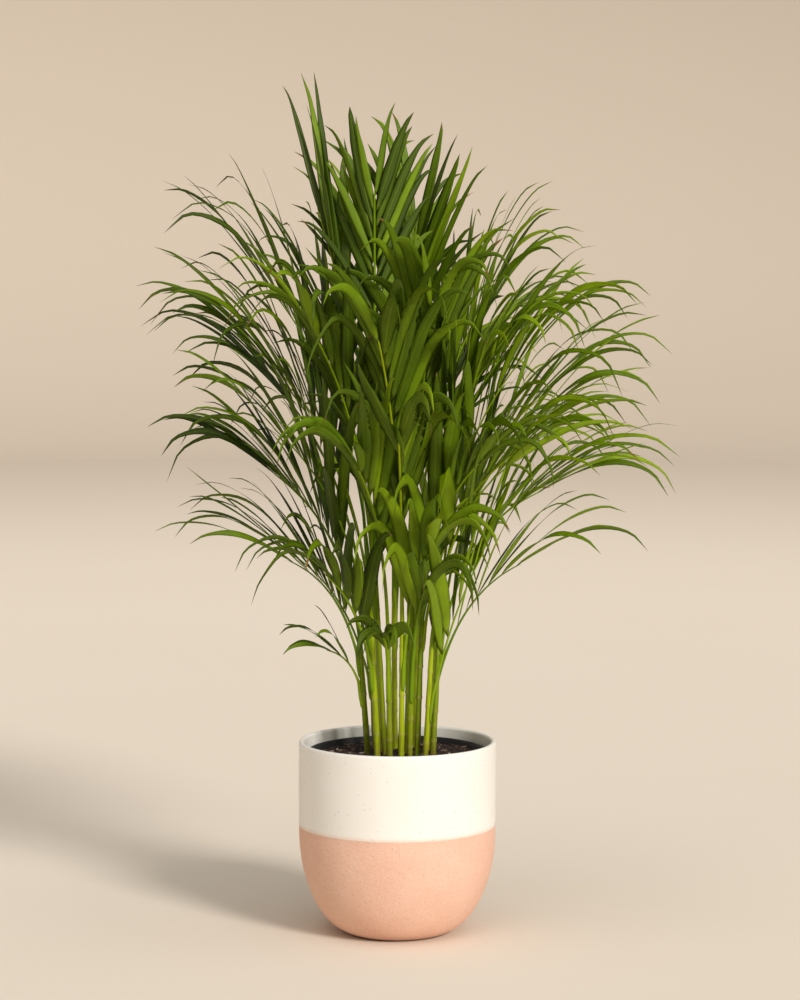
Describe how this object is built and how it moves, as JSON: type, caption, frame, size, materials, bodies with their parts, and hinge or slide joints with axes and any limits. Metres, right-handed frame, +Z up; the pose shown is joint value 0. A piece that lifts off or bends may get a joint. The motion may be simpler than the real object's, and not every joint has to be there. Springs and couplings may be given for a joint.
{
  "type": "potted areca palm",
  "caption": "Clump of feathery palm fronds on slender canes in a plastic nursery pot inside a two-tone ceramic pot.",
  "frame": {"origin": "centre of the ceramic pot's flat underside, where it stands on a surface", "axes": "+Z up; -Y towards the viewer, the front of the plant; +X to the viewer's right"},
  "size_m": [0.6626, 0.5742, 1.0509],
  "materials": {
    "glazed_clay": "satin bone-white glaze above and inside, raw pink speckled clay below",
    "nursery_plastic": "matt black moulded plastic",
    "potting_soil": "dark crumbly peat with bits of bark and perlite",
    "cane": "smooth waxy yellow-green stem with faint rings",
    "leaf": "satin green blades with fine lengthwise veins, on yellow-green stalks"
  },
  "bodies": {
    "root": {"ceramic_pot": "glazed_clay", "nursery_pot": "nursery_plastic", "soil": "potting_soil", "cane_01": "cane", "cane_02": "cane", "cane_03": "cane", "cane_04": "cane", "cane_05": "cane", "cane_06": "cane", "cane_07": "cane", "cane_08": "cane", "cane_09": "cane", "cane_10": "cane", "cane_11": "cane", "cane_12": "cane", "cane_13": "cane", "cane_14": "cane", "cane_15": "cane", "frond_01": "leaf", "frond_02": "leaf", "frond_03": "leaf", "frond_04": "leaf", "frond_05": "leaf", "frond_06": "leaf", "frond_07": "leaf", "frond_08": "leaf", "frond_09": "leaf", "frond_10": "leaf", "frond_11": "leaf", "frond_12": "leaf", "frond_13": "leaf", "frond_14": "leaf", "frond_15": "leaf", "frond_16": "leaf", "frond_17": "leaf", "frond_18": "leaf", "frond_19": "leaf", "frond_20": "leaf", "frond_21": "leaf", "frond_22": "leaf", "frond_23": "leaf", "frond_24": "leaf", "frond_25": "leaf", "frond_26": "leaf", "frond_27": "leaf", "frond_28": "leaf", "frond_29": "leaf", "frond_30": "leaf", "frond_31": "leaf", "frond_32": "leaf", "frond_33": "leaf", "frond_34": "leaf", "frond_35": "leaf", "frond_36": "leaf", "frond_37": "leaf", "frond_38": "leaf", "frond_39": "leaf", "frond_40": "leaf", "frond_41": "leaf"}
  },
  "joints": []
}
